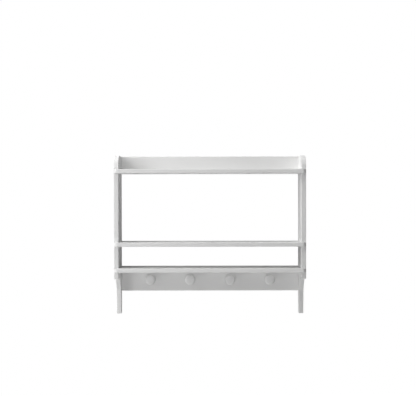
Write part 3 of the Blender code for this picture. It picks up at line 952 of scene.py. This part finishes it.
# %% Make the four pegs
for index in range(1, PEG_COUNT + 1):
    low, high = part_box(f"peg_{index}")
    centre = (low + high) / 2
    profile = peg_profile(high.z - low.z, high.y - low.y)
    shape = aimed(marked(turned(profile, PEG_SIDES), profile), TO_ROOM, (centre.x, high.y, centre.z))
    mesh = finished(f"peg_{index}_turned", shape)
    add_piece(f"peg_{index}_turned", mesh, peg_paint, f"peg_{index}")
print("pegs:", PEG_COUNT, "with", len(mesh.polygons), "faces each")

# %% [markdown]
# ## Caps, hanger plates and screws
#
# The rest is small and shows from the sides and from behind. Each connector screw is hidden by a
# plastic cap with a softly rounded rim. The hanger plates are stamped, so their holes are cut right
# through and their edges are barely rolled. The screws that show have a cross recess, which two
# tapered wings cut out of the head, as the punch of the screw's maker does.

# %% Make the caps
CAP_RIM = 0.0004
CAP_RIM_STEPS = 4
CAP_SIDES = 64


def is_cap_rim(edge):
    """Whether an edge runs round the outer face of a cap, which still lies at its own Z zero."""
    return is_corner(edge) and edge.verts[0].co.z > -CAP_RIM


for shelf in SHELVES:
    for side, aim in SIDE_AIMS.items():
        for place in SCREW_PLACES:
            label = f"{shelf}_{side}_{place}"
            low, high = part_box(f"cap_{label}")
            centre = (low + high) / 2
            radius = (high.z - low.z) / 2
            thickness = high.x - low.x
            profile = [(0, 0), (radius, 0), (radius, -thickness), (0, -thickness)]
            shape = turned(profile, CAP_SIDES)
            round_edges(shape, is_cap_rim, CAP_RIM, CAP_RIM_STEPS)
            shape = aimed(shape, aim, (max(low.x, high.x, key=abs), centre.y, centre.z))
            mesh = finished(f"cap_{label}_moulded", shape)
            add_piece(f"cap_{label}_moulded", mesh, cap_plastic, f"cap_{label}")
print("faces of a cap:", len(mesh.polygons))


# %% Stamp a hanger plate
def rod(diameter, low_y, high_y, x, z):
    """A plain round punch along Y."""
    shape = bmesh.new()
    bmesh.ops.create_cone(
        shape,
        cap_ends=True,
        segments=BORE_SIDES,
        radius1=diameter / 2,
        radius2=diameter / 2,
        depth=high_y - low_y,
    )
    return aimed(shape, TO_WALL, (x, (low_y + high_y) / 2, z))


def plate_mesh(hanger):
    """A plate with its keyhole and the bores for its two screws."""
    low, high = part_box(f"hanger_plate_{hanger}")
    centre = (low + high) / 2
    shape = block(low, high)
    round_edges(shape, lambda edge: runs_along(edge, 1), PLATE_CORNER_RADIUS, CORNER_STEPS)
    round_edges(
        shape,
        lambda edge: is_corner(edge) and not runs_along(edge, 1),
        PLATE_EDGE,
        PLATE_EDGE_STEPS,
    )
    start, end = low.y - CUT_OVERRUN, high.y + CUT_OVERRUN
    entry_z = centre.z - KEYHOLE_RISE / 2
    slot_z = centre.z + KEYHOLE_RISE / 2
    slot = KEYHOLE_SLOT_WIDTH / 2
    keyhole = [
        rod(KEYHOLE_ENTRY_DIAMETER, start, end, centre.x, entry_z),
        rod(KEYHOLE_SLOT_WIDTH, start, end, centre.x, slot_z),
        block((centre.x - slot, start, entry_z), (centre.x + slot, end, slot_z)),
    ]
    bores = [plate_screw_bit(hanger, end_name) for end_name in HANGERS]
    return finished(f"hanger_plate_{hanger}_stamped", shape, keyhole + bores)


for hanger in HANGERS:
    mesh = plate_mesh(hanger)
    add_piece(mesh.name, mesh, strip_zinc, f"hanger_plate_{hanger}")
    print("hanger plate:", len(mesh.polygons), "faces")


# %% Cut a cross recess
CROSS_SPAN_SHARE = 0.58
CROSS_WING_SHARE = 0.13
CROSS_TIP_SPAN = 0.3
CROSS_TIP_WING = 0.75


def cross_wings(head_diameter, depth, aim, place):
    """The two tapered wings of a screwdriver's tip, which point down from their own Z zero."""
    span = head_diameter * CROSS_SPAN_SHARE
    wing = head_diameter * CROSS_WING_SHARE
    wings = []
    for turn in (0, QUARTER_TURN):
        shape = block((-span / 2, -wing / 2, -depth), (span / 2, wing / 2, depth))
        tip = [vertex for vertex in shape.verts if vertex.co.z < 0]
        bmesh.ops.scale(shape, vec=(CROSS_TIP_SPAN, CROSS_TIP_WING, 1), verts=tip)
        bmesh.ops.rotate(shape, matrix=Matrix.Rotation(turn, 3, "Z"), verts=shape.verts)
        wings.append(aimed(shape, aim, place))
    return wings


# %% Make the screws that show
SCREW_SIDES = 48
DOME_STEPS = 8
CROSS_DEPTH_PER_WIDTH = 0.25
CROSS_DEPTH_PER_HEIGHT = 0.6


def plate_screw_mesh(node):
    """A countersunk screw that points at the room, with a cross in its flat head."""
    low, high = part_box(node)
    head = high.x - low.x
    centre = (low + high) / 2
    place = (centre.x, high.y, centre.z)
    profile = countersunk(head, PLATE_SCREW_DIAMETER, high.y - low.y)
    shape = aimed(turned(profile, SCREW_SIDES), TO_WALL, place)
    wings = cross_wings(head, head * CROSS_DEPTH_PER_WIDTH, TO_WALL, place)
    return finished(f"{node}_cross", shape, wings)


def peg_screw_mesh(node):
    """A pan-head screw that points at the room, with a cross in the low dome of its head."""
    low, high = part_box(node)
    head = (high.x - low.x) / 2
    shank = PEG_SCREW_DIAMETER / 2
    centre = (low + high) / 2
    length = high.y - low.y - PEG_SCREW_HEAD_HEIGHT
    profile = [(0, length), (shank / 2, length), (shank, length - shank), (shank, 0), (head, 0)]
    for step in range(DOME_STEPS):
        turn = QUARTER_TURN * step / DOME_STEPS
        profile.append((head * math.cos(turn), -PEG_SCREW_HEAD_HEIGHT * (1 + math.sin(turn)) / 2))
    profile.append((0, -PEG_SCREW_HEAD_HEIGHT))
    under_head = (centre.x, high.y - PEG_SCREW_HEAD_HEIGHT, centre.z)
    shape = aimed(turned(profile, SCREW_SIDES), TO_ROOM, under_head)
    depth = PEG_SCREW_HEAD_HEIGHT * CROSS_DEPTH_PER_HEIGHT
    wings = cross_wings(2 * head, depth, TO_WALL, (centre.x, high.y, centre.z))
    return finished(f"{node}_cross", shape, wings)


for hanger in HANGERS:
    for end in HANGERS:
        node = f"plate_screw_{hanger}_{end}"
        add_piece(f"{node}_cross", plate_screw_mesh(node), screw_zinc, node)
for index in range(1, PEG_COUNT + 1):
    node = f"peg_screw_{index}"
    add_piece(f"{node}_cross", peg_screw_mesh(node), screw_zinc, node)
print("new pieces:", len(made))

# %% [markdown]
# ## Pieces that stay as they are
#
# The connector screws and the dowels are closed in by the boards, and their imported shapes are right.
# They only need their finish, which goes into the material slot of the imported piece.

# %% Finish the hidden pieces
for name, node in frame["nodes"].items():
    finish = beech if name.startswith("dowel_") else screw_zinc
    if not node.hide_render:
        node.data.materials.clear()
        node.data.materials.append(finish)
kept = [name for name, node in frame["nodes"].items() if not node.hide_render]
print("packed pieces that stay:", len(kept))

# %% [markdown]
# ## Floor and surroundings
#
# A shelf like this is photographed for a catalogue, hung in front of pure white. If the white were
# real light, the pale paint would lose its shading. So the surroundings glow only for rays that come
# from the camera, or from a reflection in metal: the Light Path node tells such rays from those that
# gather light. For the rest the surroundings are black, and the lamps alone light the shelf.

# %% Which rays see the white
def larger(tree, first, second):
    """The larger of two outputs."""
    links = {0: first, 1: second}
    return add_node(tree, "ShaderNodeMath", settings={"operation": "MAXIMUM"}, links=links).outputs[0]


def seen_rays(tree):
    """1 for a ray from the camera or from a reflection, and 0 for a ray that gathers light."""
    path = add_node(tree, "ShaderNodeLightPath")
    shiny = larger(tree, path.outputs["Is Glossy Ray"], path.outputs["Is Transmission Ray"])
    return larger(tree, path.outputs["Is Camera Ray"], shiny)


# %% The surroundings
PURE_WHITE = (1, 1, 1, 1)

world = bpy.data.worlds.new("white_studio")
world.use_nodes = True
bpy.context.scene.world = world
background = world.node_tree.nodes["Background"]
world.node_tree.links.new(seen_rays(world.node_tree), background.inputs["Strength"])
background.inputs["Color"].default_value = PURE_WHITE

# %% [markdown]
# The floor is a pale matt sheet, well below the shelf, and throws some of the lamps' light up at the
# undersides. It has to look white and still show the shelf's shadow. So it adds a glow to its lit
# colour, again only for the rays that the camera sees. Under the shelf the glow is weaker, and there
# the lamps' light makes up the rest, which is what a shadow takes away.

# %% The floor
FLOOR_DROP = 1.6
FLOOR_HALF_SIZE = 6.0
FLOOR_COLOUR = (0.8, 0.8, 0.8, 1)
FLOOR_ROUGHNESS = 0.9
GLOW_BELOW_SHELF = 0.7
SHADOW_REACH = 2.4
GLOW_FULL_AT = 4.0

shape = bmesh.new()
bmesh.ops.create_grid(shape, x_segments=1, y_segments=1, size=FLOOR_HALF_SIZE)
bmesh.ops.translate(shape, vec=(0, 0, foot_z - FLOOR_DROP), verts=shape.verts)
floor = as_object("floor", shape)

floor_material, tree, shader = new_material("pale_floor")
shader.inputs["Base Color"].default_value = FLOOR_COLOUR
shader.inputs["Roughness"].default_value = FLOOR_ROUGHNESS
place = add_node(tree, "ShaderNodeTexCoord").outputs["Object"]
distance = add_node(
    tree,
    "ShaderNodeVectorMath",
    settings={"operation": "LENGTH"},
    links={0: place},
).outputs["Value"]
reach = {"From Min": SHADOW_REACH, "From Max": GLOW_FULL_AT, "To Min": GLOW_BELOW_SHELF, "To Max": 1}
glow = add_node(tree, "ShaderNodeMapRange", values=reach, links={"Value": distance}).outputs["Result"]
strength = add_node(
    tree,
    "ShaderNodeMath",
    settings={"operation": "MULTIPLY"},
    links={0: glow, 1: seen_rays(tree)},
).outputs[0]
white = add_node(
    tree,
    "ShaderNodeEmission",
    values={"Color": PURE_WHITE},
    links={"Strength": strength},
).outputs["Emission"]
lit = add_node(tree, "ShaderNodeAddShader", links={0: shader.outputs["BSDF"], 1: white})
tree.links.new(lit.outputs[0], tree.nodes["Material Output"].inputs["Surface"])
floor.data.materials.append(floor_material)
print(f"floor: {FLOOR_DROP} m below the feet")

# %% [markdown]
# ## Light
#
# The photograph tells where its light stood. The faces that look left are bright and those that look
# right are dark, the left part of the gallery rail lies in a soft shadow that fades to the right, and
# the peg rail is in the shade of the lowest shelf. So most of the light comes from large soft boxes on
# the left, one from in front and one from overhead. Two weak ones, on the right and behind, keep the
# faces that the photograph doesn't show from going black.
#
# A lamp's power is in watts and its light falls off with distance, so each soft box is given by where
# it stands, seen from the shelf. Azimuth 0 is in front and -90 is on the left. The camera doesn't see
# the lamps themselves. The one behind stands far off and straight behind, so that it lights the back
# only, and it makes no shine: on the insides of the bays that would glare towards the camera.

# %% Soft boxes
AIM = Vector((0, -side_depth / 2, (top_z + foot_z) / 2))


def soft_box(name, azimuth, elevation, distance, size, power):
    """A square area light that looks at the middle of the shelf."""
    sideways = Matrix.Rotation(math.radians(azimuth), 3, "Z")
    upwards = Matrix.Rotation(math.radians(-elevation), 3, "X")
    turn = sideways @ upwards
    data = bpy.data.lights.new(name, "AREA")
    data.shape = "SQUARE"
    data.size = size
    data.energy = power
    lamp = bpy.data.objects.new(name, data)
    bpy.context.scene.collection.objects.link(lamp)
    lamp.visible_camera = False
    lamp.location = AIM + turn @ Vector((0, -distance, 0))
    lamp.rotation_euler = (turn @ TO_ROOM.to_3x3()).to_euler()
    return lamp


soft_box("high_left", azimuth=-75, elevation=55, distance=3.0, size=2.0, power=33)
soft_box("left", azimuth=-60, elevation=22, distance=3.0, size=1.8, power=52)
soft_box("low_left", azimuth=-65, elevation=-33, distance=2.6, size=0.8, power=13)
soft_box("front", azimuth=0, elevation=-10, distance=4.3, size=2.4, power=33)
soft_box("overhead", azimuth=0, elevation=78, distance=3.0, size=1.8, power=38)
soft_box("right", azimuth=90, elevation=0, distance=3.5, size=0.6, power=7)
behind = soft_box("behind", azimuth=180, elevation=-3, distance=6.0, size=0.5, power=95)
behind.visible_glossy = False

# %% [markdown]
# ## Camera
#
# The camera stands level with the upper half of the upper bay, nearly four metres from the wall. It
# looks down by less than a degree, and leans by a tenth of one. The narrow strips that show of the
# insides and of the shelves' undersides give its height and distance away.

# %% The camera
CAMERA_PLACE = (-0.0077, -3.875, -0.131)
FOCAL_LENGTH = 82.75
SENSOR_WIDTH = 36
LOOKS_DOWN = math.radians(0.734)
TILTS = math.radians(0.098)

camera_data = bpy.data.cameras.new("camera")
camera_data.lens = FOCAL_LENGTH
camera_data.sensor_width = SENSOR_WIDTH
camera = bpy.data.objects.new("camera", camera_data)
bpy.context.scene.collection.objects.link(camera)
camera.location = CAMERA_PLACE
camera.rotation_euler = (QUARTER_TURN - LOOKS_DOWN, TILTS, 0)
bpy.context.scene.camera = camera
bpy.context.scene.view_settings.view_transform = "Standard"
